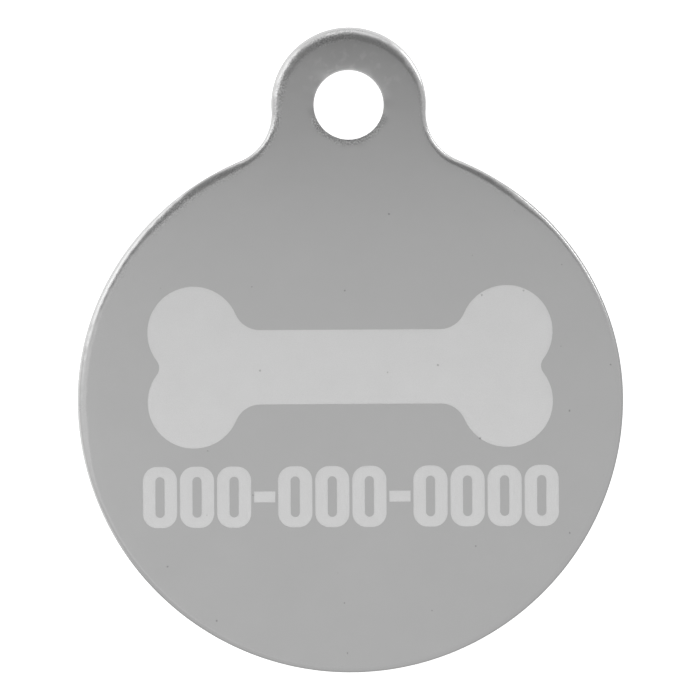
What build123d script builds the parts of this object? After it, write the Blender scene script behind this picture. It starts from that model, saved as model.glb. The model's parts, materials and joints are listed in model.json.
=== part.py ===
"""Pet identity tag: one stamped steel blank with a ring hole in its tab and frosted marks on its face.

Millimetres. The tag lies on its back: the origin is the middle of the disc on the back face,
+Z comes out of the marked face and +Y runs up through the tab.
"""

import os
from math import sqrt

from build123d import *

# Stamped disc. Its lower half is a true half circle and its upper half is a slightly flatter half ellipse.
disc_diameter = 32.0
shoulder_drop = 0.7
sheet_thickness = 1.5
front_edge_radius = 0.6
back_edge_radius = 0.4

# Tab with its ring hole. The tab is round about the hole and runs into the shoulders in two hollow necks.
hole_diameter = 4.1
hole_edge_radius = 0.2
hole_rise = 2.0
tab_wall = 2.5
neck_radius = 3.0

# Frosted marks. Each one is a thin skin on the floor of a shallow pocket, just below the face.
mark_depth = 0.06
mark_recess = 0.02
marks_drop = 0.4
mark_gap = 1.05
cut_overrun = 0.5

# Bone figure, with its lobes, shaft and rounded corners as shares of its height.
bone_height = 9.5
bone_side_margin = 4.0
bone_lobe_share = 0.285
bone_shaft_share = 0.46
bone_crook_share = 0.16
bone_notch_share = 0.07

# Number row: groups of plain zeros with a dash between two groups.
digit_groups = (3, 3, 4)
number_height = 3.6
number_side_margin = 1.95
digit_gap = 0.16
dash_width = 1.25
dash_height = 0.65
digit_corner_share = 0.42
counter_width_share = 0.26
counter_height_share = 0.66

# Places that follow from the sizes above.
disc_radius = disc_diameter / 2
shoulder_rise = disc_radius - shoulder_drop
hole_radius = hole_diameter / 2
hole_y = shoulder_rise + hole_rise
mark_floor = sheet_thickness - mark_depth
mark_skin = mark_depth - mark_recess

marks_height = bone_height + mark_gap + number_height
bone_y = marks_height / 2 - marks_drop - bone_height / 2
number_y = number_height / 2 - marks_height / 2 - marks_drop
bone_length = 2 * (sqrt(disc_radius**2 - bone_y**2) - bone_side_margin)
number_foot = number_y - number_height / 2
number_width = 2 * (sqrt(disc_radius**2 - number_foot**2) - number_side_margin)

dash_count = len(digit_groups) - 1
gap_count = sum(digit_groups) + dash_count - 1
digit_width = (number_width - dash_count * dash_width - gap_count * digit_gap) / sum(digit_groups)
digit_places = []
dash_places = []
pen_x = -number_width / 2
for group, digit_count in enumerate(digit_groups):
    for _ in range(digit_count):
        digit_places.append((pen_x + digit_width / 2, number_y))
        pen_x += digit_width + digit_gap
    if group < dash_count:
        dash_places.append((pen_x + dash_width / 2, number_y))
        pen_x += dash_width + digit_gap

# Outlines of the marks, drawn on the pockets' floor. The pockets and the frosted skins share them.
with BuildSketch(Plane.XY.offset(mark_floor)) as bone_outline:
    lobe_radius = bone_lobe_share * bone_height
    lobe_x = bone_length / 2 - lobe_radius
    lobe_y = bone_height / 2 - lobe_radius
    with Locations((0, bone_y)):
        Rectangle(2 * lobe_x, bone_shaft_share * bone_height)
        with GridLocations(2 * lobe_x, 2 * lobe_y, 2, 2):
            Circle(lobe_radius)
    fillet(vertices().filter_by_position(Axis.X, -lobe_x, lobe_x), bone_crook_share * bone_height)
    corner_columns = vertices().group_by(Axis.X)
    fillet(corner_columns[0] + corner_columns[-1], bone_notch_share * bone_height)

with BuildSketch(Plane.XY.offset(mark_floor)) as digit_outlines:
    with Locations(*digit_places):
        RectangleRounded(digit_width, number_height, digit_corner_share * digit_width)
        SlotOverall(
            counter_height_share * number_height,
            counter_width_share * digit_width,
            rotation=90,
            mode=Mode.SUBTRACT,
        )

with BuildSketch(Plane.XY.offset(mark_floor)) as dash_outlines:
    with Locations(*dash_places):
        Rectangle(dash_width, dash_height)

# The blank: stamped from sheet, punched, tumbled round at the edges, with the marks' pockets in its face.
with BuildPart() as tag_blank:
    with BuildSketch():
        with BuildLine():
            CenterArc((0, 0), disc_radius, 180, 180)
            EllipticalCenterArc((0, 0), disc_radius, shoulder_rise, 0, arc_size=180)
        make_face()
        with Locations((0, hole_y)):
            Circle(hole_radius + tab_wall)
    extrude(amount=sheet_thickness)
    neck_corners = edges().filter_by(Axis.Z).filter_by_position(Axis.Y, 0, shoulder_rise, (False, False))
    fillet(neck_corners, neck_radius)
    fillet(faces().sort_by(Axis.Z)[-1].edges(), front_edge_radius)
    fillet(faces().sort_by(Axis.Z)[0].edges(), back_edge_radius)
    with Locations((0, hole_y, sheet_thickness)):
        Hole(hole_radius)
    hole_wall = faces().filter_by(GeomType.CYLINDER).sort_by(SortBy.RADIUS)[0]
    fillet(hole_wall.edges().filter_by(GeomType.CIRCLE), hole_edge_radius)
    for outlines in (bone_outline, digit_outlines, dash_outlines):
        extrude(outlines.sketch, amount=mark_depth + cut_overrun, mode=Mode.SUBTRACT)

tag_blank.part.label = "tag_blank"
os.makedirs("parts", exist_ok=True)
export_step(tag_blank.part, "parts/tag_blank.step")

# The frosted skins, one for each figure, dash and digit.
mark_faces = {"bone_mark": bone_outline.sketch.faces()[0]}
for count, face in enumerate(dash_outlines.sketch.faces().sort_by(Axis.X), start=1):
    mark_faces[f"dash_{count}"] = face
for count, face in enumerate(digit_outlines.sketch.faces().sort_by(Axis.X), start=1):
    mark_faces[f"digit_{count:02d}"] = face

for mark_name, face in mark_faces.items():
    with BuildPart() as mark:
        extrude(face, amount=mark_skin)
    mark.part.label = mark_name
    export_step(mark.part, f"parts/{mark_name}.step")
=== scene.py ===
import json
from math import atan2, cos, pi, radians, sin

import bpy
import numpy as np
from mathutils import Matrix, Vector
from mathutils.geometry import delaunay_2d_cdt


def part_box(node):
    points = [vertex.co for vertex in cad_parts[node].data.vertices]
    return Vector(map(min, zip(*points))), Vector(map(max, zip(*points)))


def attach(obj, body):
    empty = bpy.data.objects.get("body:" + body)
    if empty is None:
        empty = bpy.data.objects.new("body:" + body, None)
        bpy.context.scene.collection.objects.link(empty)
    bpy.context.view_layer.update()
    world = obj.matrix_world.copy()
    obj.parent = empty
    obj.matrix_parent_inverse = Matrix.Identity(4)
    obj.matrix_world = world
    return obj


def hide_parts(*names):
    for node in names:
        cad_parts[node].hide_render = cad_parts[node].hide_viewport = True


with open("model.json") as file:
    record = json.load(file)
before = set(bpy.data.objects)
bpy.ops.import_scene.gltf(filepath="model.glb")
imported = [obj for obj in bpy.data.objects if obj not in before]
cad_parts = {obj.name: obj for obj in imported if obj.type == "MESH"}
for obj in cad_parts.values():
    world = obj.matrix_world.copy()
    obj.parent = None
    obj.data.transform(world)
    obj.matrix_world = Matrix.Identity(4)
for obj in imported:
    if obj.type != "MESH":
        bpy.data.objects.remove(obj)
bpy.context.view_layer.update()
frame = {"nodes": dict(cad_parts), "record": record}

# Stamped blank: a disc with a tab, cut from stainless steel sheet by a press and punched for its ring.
# The press rolls the front edge over, and tumbling with stones leaves a satin face and burnished edges.
MM = 0.001
blank_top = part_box("tag_blank")[1]
ring_hole = next(mount for mount in frame["record"]["mounts"] if mount["name"] == "ring_hole")
sheet_thickness = blank_top.z
disc_radius = blank_top.x
shoulder_drop = 0.7 * MM
shoulder_rise = disc_radius - shoulder_drop
hole_y = ring_hole["pos_m"][1]
hole_radius = ring_hole["dims"]["r_mm"] * MM
tab_radius = blank_top.y - hole_y
neck_radius = 3.0 * MM
back_roll = 0.4 * MM
hole_back_roll = 0.2 * MM
edge_easing = 1.4 * MM
foot_steps, shoulder_steps, neck_steps, tab_steps, hole_steps = 220, 150, 44, 80, 160
roll_steps, corner_steps, back_steps = 16, 9, 12


def worked_edge(margin, roll, corner, steepest):
    """A kind of edge, in millimetres and degrees: a margin of face, a wide roll and a tight corner."""
    return {"margin": margin * MM, "roll": roll * MM, "corner": corner * MM, "steepest": radians(steepest)}


# The roll is tight round the foot and in the necks, and wide on the shoulders and the top of the tab.
# Round the hole the punch has only drawn the face in a little.
foot_edge = worked_edge(margin=0.8, roll=0.35, corner=0.25, steepest=50)
disc_edge = worked_edge(margin=0.8, roll=0.68, corner=0.25, steepest=50)
wide_shoulder = worked_edge(margin=0.8, roll=1.0, corner=0.12, steepest=30)
tight_shoulder = worked_edge(margin=0.8, roll=0.8, corner=0.12, steepest=30)
neck_edge = worked_edge(margin=0.6, roll=0.36, corner=0.2, steepest=50)
tab_edge = worked_edge(margin=0.4, roll=0.95, corner=0.25, steepest=50)
hole_edge = worked_edge(margin=0.2, roll=10.0, corner=0.06, steepest=2.8)

# The two sides are worked differently. The turns, up from the level of the disc's centre and then of the
# tab's, say where one kind of edge gives way to the next.
right_side = {
    "foot_end": radians(47),
    "shoulder_start": radians(52),
    "shoulder_edge": tight_shoulder,
    "tab_start": radians(24),
}
left_side = {
    "foot_end": radians(-13),
    "shoulder_start": radians(49),
    "shoulder_edge": wide_shoulder,
    "tab_start": radians(-30),
}


def shoulder_at(turn):
    """Points and outward normals of the flattened upper half of the disc."""
    points = np.column_stack((disc_radius * np.cos(turn), shoulder_rise * np.sin(turn)))
    normals = points / (disc_radius**2, shoulder_rise**2)
    return points, normals / np.linalg.norm(normals, axis=1)[:, None]


def arc(centre, radius, turn):
    """Points of an arc and the directions that they lie in from its centre."""
    directions = np.column_stack((np.cos(turn), np.sin(turn)))
    return centre + radius * directions, directions


def neck_start():
    """How far round the shoulder the hollow neck begins, where a neck arc just touches shoulder and tab."""
    low, high = radians(45), radians(89)
    halvings = 50
    for _ in range(halvings):
        middle = (low + high) / 2
        points, normals = shoulder_at(np.array([middle]))
        reach = np.linalg.norm(points[0] + neck_radius * normals[0] - (0, hole_y))
        low, high = (middle, high) if reach > tab_radius + neck_radius else (low, middle)
    return low


def side_edges(side, disc_turn, tab_turn):
    """The kind of edge at each point up one side of the outline."""
    edges = []
    for turn in disc_turn:
        if turn < side["foot_end"]:
            edges.append(foot_edge)
        elif turn > side["shoulder_start"]:
            edges.append(side["shoulder_edge"])
        else:
            edges.append(disc_edge)
    edges += [neck_edge] * neck_steps
    edges += [neck_edge if turn < side["tab_start"] else tab_edge for turn in tab_turn]
    return edges


def blank_outline():
    """The outline, anticlockwise from the foot of the disc: points, outward normals and kinds of edge."""
    shoulder_end = neck_start()
    foot_turn = np.linspace(-pi / 2, 0, foot_steps, endpoint=False)
    foot, foot_out = arc(np.zeros(2), disc_radius, foot_turn)
    shoulder_turn = np.linspace(0, shoulder_end, shoulder_steps, endpoint=False)
    shoulder, shoulder_out = shoulder_at(shoulder_turn)
    touch, facing = shoulder_at(np.array([shoulder_end]))
    neck_centre = touch[0] + neck_radius * facing[0]
    to_shoulder = atan2(-facing[0][1], -facing[0][0]) + 2 * pi
    to_tab = atan2(hole_y - neck_centre[1], -neck_centre[0])
    neck_turn = np.linspace(to_shoulder, to_tab, neck_steps, endpoint=False)
    neck, neck_in = arc(neck_centre, neck_radius, neck_turn)
    tab_turn = np.linspace(to_tab - pi, pi / 2, tab_steps)
    tab, tab_out = arc(np.array((0, hole_y)), tab_radius, tab_turn)
    right = np.vstack((foot, shoulder, neck, tab))
    right_out = np.vstack((foot_out, shoulder_out, -neck_in, tab_out))
    mirror = np.array((-1, 1))
    points = np.vstack((right, right[-2:0:-1] * mirror))
    normals = np.vstack((right_out, right_out[-2:0:-1] * mirror))
    disc_turn = np.concatenate((foot_turn, shoulder_turn))
    right_edges = side_edges(right_side, disc_turn, tab_turn)
    left_edges = side_edges(left_side, disc_turn, tab_turn)
    return points, normals, right_edges + left_edges[-2:0:-1]


def edge_rings(points, normals, edge, back):
    """Rings of a worked edge, from the front face over its roll, down the wall and onto the back.

    The roll is a wide arc that ends in a tight corner. Each ring says how far the edge is worked there:
    none on the face, half where the roll starts and all on the wall.
    """
    roll, corner, steepest = edge["roll"], edge["corner"], edge["steepest"]
    unworked = np.zeros(len(points))
    underside = np.zeros(len(points))
    face = np.full(len(points), sheet_thickness)
    width = roll * np.sin(steepest) + corner * (1 - np.sin(steepest))
    yield points - normals * (width + edge["margin"])[:, None], face, unworked
    for share in np.linspace(0, 1, roll_steps):
        out, drop = roll * np.sin(share * steepest), roll * (1 - np.cos(share * steepest))
        yield points - normals * (width - out)[:, None], face - drop, 0.5 + 0.5 * out / width
    for share in np.linspace(0, 1, corner_steps)[1:]:
        slope = steepest + share * (pi / 2 - steepest)
        out = roll * np.sin(steepest) + corner * (np.sin(slope) - np.sin(steepest))
        drop = roll * (1 - np.cos(steepest)) + corner * (np.cos(steepest) - np.cos(slope))
        yield points - normals * (width - out)[:, None], face - drop, 0.5 + 0.5 * out / width
    for slope in np.linspace(pi / 2, 0, back_steps):
        inset, rise = back * (1 - sin(slope)), back * (1 - cos(slope))
        yield points - normals * inset, underside + rise, np.full(len(points), 1 - 0.5 * inset / back)
    yield points - normals * (back + edge["margin"])[:, None], underside, unworked


def steps_round(points):
    """Lengths of the steps from each point of a closed outline to the next."""
    return np.linalg.norm(np.roll(points, -1, axis=0) - points, axis=1)


def eased(values, points, reach):
    """Values round a closed outline, each eased into its neighbours over a short reach."""
    steps = steps_round(points)
    along = np.cumsum(steps)
    apart = np.abs(along[:, None] - along)
    weights = np.exp(-0.5 * (np.minimum(apart, along[-1] - apart) / reach) ** 2) * steps
    return weights @ values / weights.sum(axis=1)


def uneven(points, waves, seed):
    """A small closed wander round an edge, between about -1 and 1."""
    steps = steps_round(points)
    lap = 2 * pi * np.cumsum(steps) / steps.sum()
    phases = np.random.default_rng(seed).uniform(0, 2 * pi, len(waves))
    return sum(np.sin(wave * lap + phase) for wave, phase in zip(waves, phases)) / len(waves) ** 0.5


def top_loops(node):
    """The closed loops round a mark's upper face, as points in the plane, with the mark on their left."""
    mesh = frame["nodes"][node].data
    facing_up = 0.9
    steps = set()
    for face in mesh.polygons:
        if face.normal.z > facing_up:
            corners = list(face.vertices)
            steps.update(zip(corners, corners[1:] + corners[:1]))
    onward = {a: b for a, b in steps if (b, a) not in steps}
    loops = []
    while onward:
        loop = [min(onward)]
        while loop[-1] in onward:
            loop.append(onward.pop(loop[-1]))
        loops.append(np.array([mesh.vertices[v].co[:2] for v in loop[:-1]]))
    return loops


def fill(loops):
    """Triangles between flat loops of points, each with the loops that hold it."""
    starts = np.cumsum([0] + [len(loop) for loop in loops])
    rims = [list(range(a, b)) for a, b in zip(starts, starts[1:])]
    points = [Vector(point / MM) for loop in loops for point in loop]
    inside_loops, same_point = 1, 1e-7
    _, _, triangles, sources, _, owners = delaunay_2d_cdt(points, [], rims, inside_loops, same_point)
    for triangle, owner in zip(triangles, owners):
        yield [sources[v][0] for v in triangle], owner


verts = []
faces = []
edge_work = []


def add_ring(points, heights, worked):
    """Adds a closed ring of points and gives their numbers."""
    first = len(verts)
    verts.extend((x, y, z) for (x, y), z in zip(points, heights))
    edge_work.extend(worked)
    return list(range(first, len(verts)))


def add_flat_ring(points, height):
    """Adds a closed ring of points at one height, away from the worked edges."""
    return add_ring(points, np.full(len(points), height), np.zeros(len(points)))


def add_wall(upper, lower):
    """Adds the quads between two rings."""
    for i, (a, b) in enumerate(zip(upper, lower)):
        j = (i + 1) % len(upper)
        faces.append((a, b, lower[j], upper[j]))


def ring_points(ring):
    """The points of a ring in the plane."""
    return np.array([verts[v][:2] for v in ring])


outline, outward, outline_edges = blank_outline()
rim_edge = {}
for size in disc_edge:
    rim_edge[size] = eased(np.array([edge[size] for edge in outline_edges]), outline, edge_easing)
rim_unevenness = 0.04
rim_edge["roll"] *= 1 + rim_unevenness * uneven(outline, waves=(23, 37, 58, 91, 140), seed=3)
rim_rings = [add_ring(*ring) for ring in edge_rings(outline, outward, rim_edge, back_roll)]
for upper, lower in zip(rim_rings, rim_rings[1:]):
    add_wall(upper, lower)

hole_turn = np.linspace(0, 2 * pi, hole_steps, endpoint=False)
hole_rim, hole_outward = arc(np.array((0, hole_y)), hole_radius, hole_turn)
punched_edge = {size: np.full(hole_steps, value) for size, value in hole_edge.items()}
hole_unevenness = 0.4
punched_edge["roll"] *= 1 + hole_unevenness * uneven(hole_rim, waves=(2, 3, 5, 9, 14), seed=8)
hole_rings = [add_ring(*ring) for ring in edge_rings(hole_rim, -hole_outward, punched_edge, hole_back_roll)]
for upper, lower in zip(hole_rings, hole_rings[1:]):
    add_wall(lower, upper)

marks = sorted(set(frame["nodes"]) - {"tag_blank"})
mark_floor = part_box(marks[0])[0].z
mark_loops = [loop for node in marks for loop in top_loops(node)]
mouths = [add_flat_ring(loop, sheet_thickness) for loop in mark_loops]
floors = [add_flat_ring(loop, mark_floor) for loop in mark_loops]
for mouth, floor in zip(mouths, floors):
    add_wall(floor, mouth)

# In both fills loop 0 is the rim and loop 1 the hole. On the front the others go round the pockets.
hole_loop = 1
front = [rim_rings[0], hole_rings[0], *mouths]
front_numbers = [v for ring in front for v in ring]
pocket_numbers = [v for ring in (*front[:2], *floors) for v in ring]
for triangle, owner in fill([ring_points(ring) for ring in front]):
    if hole_loop in owner:
        continue
    in_pocket = len([loop for loop in owner if loop > hole_loop]) % 2 == 1
    numbers = pocket_numbers if in_pocket else front_numbers
    faces.append([numbers[v] for v in triangle])
back = [rim_rings[-1], hole_rings[-1]]
back_numbers = [v for ring in back for v in ring]
for triangle, owner in fill([ring_points(ring) for ring in back]):
    if hole_loop not in owner:
        faces.append([back_numbers[v] for v in reversed(triangle)])


def add_object(name, data):
    """A new object in the scene."""
    thing = bpy.data.objects.new(name, data)
    bpy.context.scene.collection.objects.link(thing)
    return thing


blank_mesh = bpy.data.meshes.new("stamped_blank")
blank_mesh.from_pydata(verts, [], faces)
blank_mesh.update()
work_data = blank_mesh.attributes.new("edge_work", "FLOAT", "POINT")
work_data.data.foreach_set("value", np.array(edge_work, np.float32))
blank_mesh.shade_smooth()
blank_mesh.set_sharp_from_angle(angle=radians(50))
stamped_blank = add_object("stamped_blank", blank_mesh)


def put(tree, kind, feeds=None, **settings):
    """Adds a shader node. Each of its inputs is fed by a value or by another node's output."""
    node = tree.nodes.new(kind)
    for name, value in settings.items():
        setattr(node, name, value)
    for socket, feed in (feeds or {}).items():
        if isinstance(feed, bpy.types.NodeSocket):
            tree.links.new(feed, node.inputs[socket])
        else:
            node.inputs[socket].default_value = feed
    return node


def calculate(tree, operation, *values):
    """A sum or product of values that change over the surface."""
    return put(tree, "ShaderNodeMath", dict(enumerate(values)), operation=operation).outputs[0]


def vectors(tree, operation, first, second, result="Vector"):
    """A place worked out from two others, or the distance between them as the result called Value."""
    return put(tree, "ShaderNodeVectorMath", {0: first, 1: second}, operation=operation).outputs[result]


def overlap(tree, mask, *others):
    """A mask that is strong only where all of the given ones are."""
    for other in others:
        mask = calculate(tree, "MULTIPLY", mask, other)
    return mask


def between(tree, value, low, high, to_low=0.0, to_high=1.0):
    """A value taken smoothly from one range to another, held at the ends."""
    feeds = {"Value": value, "From Min": low, "From Max": high, "To Min": to_low, "To Max": to_high}
    return put(tree, "ShaderNodeMapRange", feeds, interpolation_type="SMOOTHSTEP").outputs[0]


def grey(shade):
    """An even grey as a colour."""
    return shade, shade, shade, 1


def tint(tree, share, under, over):
    """One colour laid over another by a mask."""
    return put(tree, "ShaderNodeMix", {0: share, 6: under, 7: over}, data_type="RGBA").outputs[2]


def noise(tree, place, size, detail=2.0):
    """Soft random variation with lumps of about one size."""
    return put(tree, "ShaderNodeTexNoise", {"Vector": place, "Scale": 1 / size, "Detail": detail}).outputs[0]


def new_group(name, inputs, outputs):
    """An empty shader group with named number sockets, and the nodes for its two ends."""
    group = bpy.data.node_groups.new(name, "ShaderNodeTree")
    for socket in inputs:
        group.interface.new_socket(socket, in_out="INPUT", socket_type="NodeSocketFloat")
    for socket in outputs:
        group.interface.new_socket(socket, in_out="OUTPUT", socket_type="NodeSocketFloat")
    return group, put(group, "NodeGroupInput"), put(group, "NodeGroupOutput")


def use_group(tree, group, **inputs):
    """A shader group placed in a material with its own values."""
    feeds = {name.replace("_", " "): value for name, value in inputs.items()}
    return put(tree, "ShaderNodeGroup", feeds, node_tree=group)


def new_finish(name):
    """A new material, its node tree and its shader."""
    finish = bpy.data.materials.new(name)
    finish.use_nodes = True
    return finish, finish.node_tree, finish.node_tree.nodes["Principled BSDF"]


def emboss(tree, shader, relief, unit):
    """Gives a material's surface a relief, with its heights in the given unit."""
    bump = put(tree, "ShaderNodeBump", {"Height": relief, "Distance": unit, "Strength": 1.0})
    tree.links.new(bump.outputs[0], shader.inputs["Normal"])


# Grain of the steel, fine grains over wide clouds.
grain_sizes, grain_masks = ("Grain size", "Cloud size"), ("Grain", "Clouds")
steel_grain, grain_in, grain_out = new_group("steel_grain", grain_sizes, grain_masks)
grain_place = put(steel_grain, "ShaderNodeTexCoord").outputs["Object"]
grain_details = 2.0, 3.0
for size_name, lumps_name, detail in zip(grain_sizes, grain_masks, grain_details):
    per_metre = calculate(steel_grain, "DIVIDE", 1.0, grain_in.outputs[size_name])
    lump_feeds = {"Vector": grain_place, "Scale": per_metre, "Detail": detail}
    lumps = put(steel_grain, "ShaderNodeTexNoise", lump_feeds).outputs[0]
    steel_grain.links.new(lumps, grain_out.inputs[lumps_name])

# Pits that the stones leave, at most one in each cell of the ground, of random size and ragged outline.
wander_size, wander_reach, pit_slope = 0.12 * MM, 0.08 * MM, 0.03 * MM
pit_spacing, largest_pit = 2.6 * MM, 0.075 * MM
tumble_pits, pits_in, pits_out = new_group("tumble_pits", ("Spacing", "Largest"), ("Pits",))
pit_place = put(tumble_pits, "ShaderNodeTexCoord").outputs["Object"]
wander_feeds = {"Vector": pit_place, "Scale": 1 / wander_size, "Detail": 1.0}
pit_wander = put(tumble_pits, "ShaderNodeTexNoise", wander_feeds).outputs["Color"]
pit_shift = vectors(tumble_pits, "MULTIPLY", pit_wander, (wander_reach,) * 3)
pit_ground = vectors(tumble_pits, "ADD", pit_place, pit_shift)
pits_per_metre = calculate(tumble_pits, "DIVIDE", 1.0, pits_in.outputs["Spacing"])
cell_feeds = {"Vector": pit_ground, "Scale": pits_per_metre}
pit_cells = put(tumble_pits, "ShaderNodeTexVoronoi", cell_feeds, voronoi_dimensions="2D")
pit_draw = put(tumble_pits, "ShaderNodeSeparateColor", {0: pit_cells.outputs["Color"]}).outputs[0]
pit_share = between(tumble_pits, pit_draw, 0.5, 1.0)
pit_reach = calculate(tumble_pits, "MULTIPLY", pit_share, pits_in.outputs["Largest"])
pit_span = calculate(tumble_pits, "MULTIPLY", pit_cells.outputs["Distance"], pits_in.outputs["Spacing"])
pit_inside = calculate(tumble_pits, "SUBTRACT", pit_reach, pit_span)
tumble_pits.links.new(between(tumble_pits, pit_inside, 0.0, pit_slope), pits_out.inputs["Pits"])

satin, satin_tree, satin_shader = new_finish("satin_steel_finish")
satin_shader.inputs["Metallic"].default_value = 1
satin_place = put(satin_tree, "ShaderNodeTexCoord").outputs["Object"]
place_across, place_up, height_up = put(satin_tree, "ShaderNodeSeparateXYZ", {0: satin_place}).outputs
from_hole = vectors(satin_tree, "DISTANCE", satin_place, (0, hole_y, sheet_thickness), "Value")
satin_grain = use_group(satin_tree, steel_grain, Grain_size=0.06 * MM, Cloud_size=3 * MM).outputs
satin_pits = use_group(satin_tree, tumble_pits, Spacing=pit_spacing, Largest=largest_pit).outputs["Pits"]
worked = put(satin_tree, "ShaderNodeAttribute", attribute_name="edge_work").outputs["Fac"]
burnished = between(satin_tree, worked, 0.55, 0.85)

# Dark and pale specks where the roll starts, strongest on the tag's upper left. Close under the hole the
# darker grey is painted shade, flecked with pale specks.
roll_start = between(satin_tree, worked, 0.3, 0.56)
before_corner = between(satin_tree, worked, 0.95, 0.75)
upper_part = between(satin_tree, place_up, 2 * MM, 15 * MM, 0.1, 1.0)
past_hole = between(satin_tree, from_hole, hole_radius + 0.85 * MM, hole_radius + 1.25 * MM)
left_part = between(satin_tree, place_across, 3 * MM, -1 * MM, 0.4, 1.0)
patches = between(satin_tree, noise(satin_tree, satin_place, 1.0 * MM, 1.0), 0.4, 0.6, 0.4, 1.0)
rough_edge = overlap(satin_tree, roll_start, before_corner, upper_part, past_hole, left_part, patches)
round_hole = between(satin_tree, from_hole, hole_radius + 0.5 * MM, hole_radius + 0.2 * MM)
under_hole = between(satin_tree, place_up, hole_y - 0.4 * MM, hole_y - 1.2 * MM)
speckle_and_shade_places = calculate(satin_tree, "ADD", rough_edge, overlap(satin_tree, round_hole, under_hole))
mottle = noise(satin_tree, satin_place, 0.1 * MM, 3.0)
dark_specks_and_painted_shade = overlap(satin_tree, speckle_and_shade_places, between(satin_tree, mottle, 0.48, 0.62))
flecks = overlap(satin_tree, speckle_and_shade_places, between(satin_tree, mottle, 0.48, 0.36))

# Pale scuffs over the hole, where a ring hangs from it.
ring_reach = between(satin_tree, from_hole, hole_radius + 2.35 * MM, hole_radius + 0.15 * MM)
over_hole = between(satin_tree, place_up, hole_y, hole_y + 2 * MM)
scuff_lumps = between(satin_tree, noise(satin_tree, satin_place, 0.5 * MM, 4.0), 0.5, 0.7, 0.0, 0.8)
ring_scuffs = overlap(satin_tree, ring_reach, over_hole, scuff_lumps)

# The wall of the cut: upright shear lines, and a torn lower part where the sheet broke away. Its darker grey
# is painted shade, for a thin dark line round the outline.
shear_wall_and_shade = between(satin_tree, worked, 0.975, 0.998)
shear_place = vectors(satin_tree, "MULTIPLY", satin_place, (1.0, 1.0, 0.12))
shear_lines = overlap(satin_tree, shear_wall_and_shade, noise(satin_tree, shear_place, 0.07 * MM))
torn = overlap(satin_tree, shear_wall_and_shade, between(satin_tree, height_up, 0.75 * MM, 0.5 * MM))

steel = tint(satin_tree, satin_grain["Clouds"], grey(0.424), grey(0.451))
# Close under the hole the darker speck grey is painted shade.
# The wall's dark grey is painted shade, for a thin dark line round the outline.
steel_shades = ((dark_specks_and_painted_shade, 0.31), (flecks, 0.54), (ring_scuffs, 0.52), (satin_pits, 0.3), (shear_wall_and_shade, 0.25))
for mask, shade in steel_shades:
    steel = tint(satin_tree, mask, steel, grey(shade))
satin_tree.links.new(steel, satin_shader.inputs["Base Color"])

sheen = between(satin_tree, satin_grain["Clouds"], 0.2, 0.8, 0.315, 0.345)
for mask, rougher in ((burnished, -0.05), (torn, 0.25)):
    sheen = calculate(satin_tree, "MULTIPLY_ADD", mask, rougher, sheen)
satin_tree.links.new(sheen, satin_shader.inputs["Roughness"])

# Heights of the surface's relief, in microns.
micron = 0.001 * MM
grain_height, pit_depth, speckle_height, shear_height = 3.0, 10.0, 16.0, 8.0
speckle_lumps = overlap(satin_tree, speckle_and_shade_places, calculate(satin_tree, "SUBTRACT", mottle, 0.5))
relief = calculate(satin_tree, "MULTIPLY", satin_grain["Grain"], grain_height)
for lumps, height in ((satin_pits, -pit_depth), (speckle_lumps, speckle_height), (shear_lines, shear_height)):
    relief = calculate(satin_tree, "MULTIPLY_ADD", lumps, height, relief)
emboss(satin_tree, satin_shader, relief, micron)
blank_mesh.materials.append(satin)
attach(stamped_blank, "root")
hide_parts("tag_blank")

# Frosted marks: a plain bone figure, and under it a row of zeros in three groups with dashes between.
# Each is the skin of the same steel, a little below the face. A laser roughens it line by line, until it
# is matt and paler than the satin round it.
frosted, frosted_tree, frosted_shader = new_finish("frosted_steel_finish")
frosted_shader.inputs["Metallic"].default_value = 1
frosted_place = put(frosted_tree, "ShaderNodeTexCoord").outputs["Object"]
frosted_grain = use_group(frosted_tree, steel_grain, Grain_size=0.045 * MM, Cloud_size=1.6 * MM).outputs
frosted_pits = use_group(frosted_tree, tumble_pits, Spacing=pit_spacing, Largest=largest_pit).outputs["Pits"]
laser_pitch = 1.1 * MM
laser_feeds = {"Vector": frosted_place, "Scale": 1 / laser_pitch, "Distortion": 0.6}
laser_lines = put(frosted_tree, "ShaderNodeTexWave", laser_feeds, bands_direction="Y").outputs["Fac"]
frost_specks = between(frosted_tree, frosted_grain["Grain"], 0.35, 0.8, 0.0, 0.3)

frost = tint(frosted_tree, frosted_grain["Clouds"], grey(0.666), grey(0.7))
for mask, shade in ((frost_specks, 0.6), (frosted_pits, 0.48)):
    frost = tint(frosted_tree, mask, frost, grey(shade))
frosted_tree.links.new(frost, frosted_shader.inputs["Base Color"])

frost_sheen = between(frosted_tree, frosted_grain["Grain"], 0.3, 0.7, 0.52, 0.6)
frosted_tree.links.new(frost_sheen, frosted_shader.inputs["Roughness"])

frost_height, line_height, frosted_pit_depth = 7.0, 0.5, 8.0
frost_relief = calculate(frosted_tree, "MULTIPLY", frosted_grain["Grain"], frost_height)
for lumps, height in ((laser_lines, line_height), (frosted_pits, -frosted_pit_depth)):
    frost_relief = calculate(frosted_tree, "MULTIPLY_ADD", lumps, height, frost_relief)
emboss(frosted_tree, frosted_shader, frost_relief, micron)
for node in marks:
    frame["nodes"][node].data.materials.clear()
    frame["nodes"][node].data.materials.append(frosted)

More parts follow.
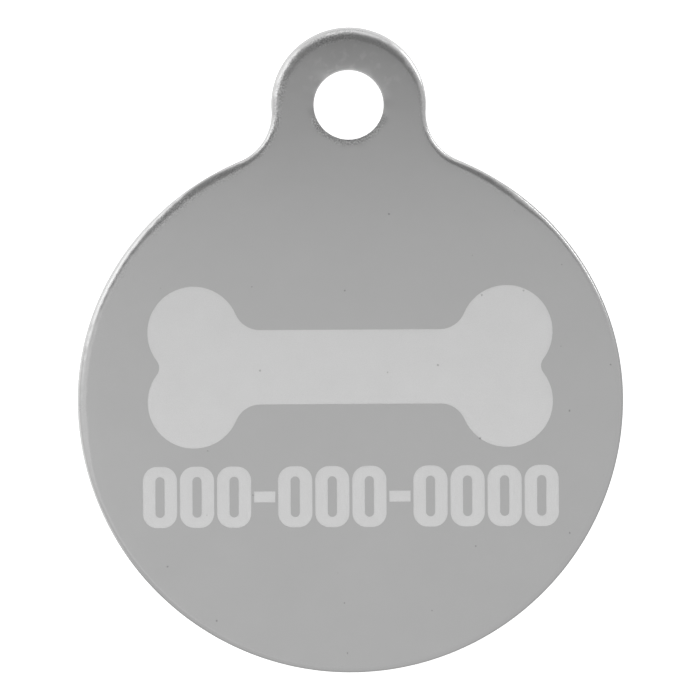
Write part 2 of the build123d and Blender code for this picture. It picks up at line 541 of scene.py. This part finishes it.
# Floor: a plain white table of smooth board, a hair below the tag that lies on it.
# It is lit until it looks white all over, and on the upper left it glows enough to light the tag's edge.
table_reach = 3.0
table_z = -0.05 * MM
table_ends = (-1, -1), (1, -1), (1, 1), (-1, 1)
table_corners = [(x * table_reach, y * table_reach, table_z) for x, y in table_ends]
table_mesh = bpy.data.meshes.new("table_top")
table_mesh.from_pydata(table_corners, [], [(0, 1, 2, 3)])
table_top = add_object("table_top", table_mesh)
white, white_tree, white_shader = new_finish("white_table")
white_shader.inputs["Roughness"].default_value = 0.9
white_shader.inputs["Emission Color"].default_value = grey(1)
white_place = put(white_tree, "ShaderNodeTexCoord").outputs["Object"]
table_across, table_up, _ = put(white_tree, "ShaderNodeSeparateXYZ", {0: white_place}).outputs
toward_lamp = calculate(white_tree, "SUBTRACT", table_up, table_across)
lamp_glow = between(white_tree, toward_lamp, 2 * MM, 12 * MM, 0.0, 0.85)
seen = put(white_tree, "ShaderNodeLightPath").outputs["Is Camera Ray"]
seen_glow = calculate(white_tree, "MULTIPLY", seen, 0.8)
table_glow = calculate(white_tree, "MAXIMUM", lamp_glow, seen_glow)
white_tree.links.new(table_glow, white_shader.inputs["Emission Strength"])
board_grain = use_group(white_tree, steel_grain, Grain_size=0.4 * MM, Cloud_size=30 * MM).outputs
board = tint(white_tree, board_grain["Clouds"], grey(0.71), grey(0.73))
white_tree.links.new(board, white_shader.inputs["Base Color"])
emboss(white_tree, white_shader, board_grain["Grain"], 10 * micron)
table_mesh.materials.append(white)

# Studio light: a white tent, two low soft boxes and a strip behind the tag, and two weak panels on the left.
# A dark card with a hanging lip is held over the tab and gives the steel its dark bands. It is seen only in
# the steel, so it doesn't shade the table.
world = bpy.data.worlds.new("studio")
world.use_nodes = True
world.node_tree.nodes["Background"].inputs["Color"].default_value = grey(0.912)
world.cycles.sampling_method = "NONE"
bpy.context.scene.world = world


def panel(name, place, width, height, radiance):
    """A soft rectangular light of the given brightness that faces the tag."""
    light = bpy.data.lights.new(name, "AREA")
    light.shape = "RECTANGLE"
    light.size, light.size_y = width, height
    light.energy = radiance * pi * width * height
    lamp = add_object(name, light)
    lamp.location = place
    lamp.rotation_euler = (-Vector(place)).to_track_quat("-Z", "Y").to_euler()
    lamp.visible_camera = False


panel("left_softbox", place=(-0.34, 0.22, 0.16), width=0.28, height=0.26, radiance=1.45)
panel("left_wall", place=(-0.13, 0.0, 0.13), width=0.1, height=0.2, radiance=0.25)
panel("right_softbox", place=(0.328, 0.256, 0.035), width=0.207, height=0.07, radiance=5.0)
panel("left_sky", place=(-0.14, -0.02, 0.45), width=0.5, height=0.12, radiance=0.24)
panel("back_strip", place=(0.0, 0.43, 0.15), width=0.5, height=0.1, radiance=1.1)

card_height, lip_height = 0.05, 0.022
card_near, card_far = 0.0195, 0.09
card_left, card_far_left = -0.05, -0.09
card_right, card_far_right = 0.03, 0.052
card_corners = [(card_left, card_near, lip_height), (card_right, card_near, lip_height)]
card_corners += [(card_left, card_near, card_height), (card_right, card_near, card_height)]
card_corners += [(card_far_left, card_far, card_height), (card_far_right, card_far, card_height)]
card_mesh = bpy.data.meshes.new("dark_card")
card_mesh.from_pydata(card_corners, [], [(0, 1, 3, 2), (2, 3, 5, 4)])
dark_card = add_object("dark_card", card_mesh)
card_paint, _, card_shader = new_finish("dark_card_paint")
card_shader.inputs["Base Color"].default_value = grey(0.185)
card_shader.inputs["Roughness"].default_value = 0.9
card_mesh.materials.append(card_paint)
dark_card.visible_camera = False
dark_card.visible_diffuse = False
dark_card.visible_shadow = False

# Camera: it looks straight down at the face from half a metre, through a long lens.
# It is rolled a little, so that the tag leans in the picture as it does in the photograph.
camera_height = 0.5
camera_y = 2.91 * MM
camera_roll = radians(-0.33)
picture_width = 41.03 * MM
sensor_width = 36
camera_data = bpy.data.cameras.new("camera")
camera_data.sensor_width = sensor_width
camera_data.lens = sensor_width * (camera_height - sheet_thickness) / picture_width
camera_data.clip_start, camera_data.clip_end = 0.01, 10
camera = add_object("camera", camera_data)
camera.location = (0, camera_y, camera_height)
camera.rotation_euler = (0, 0, camera_roll)
bpy.context.scene.camera = camera
bpy.context.scene.view_settings.view_transform = "Standard"
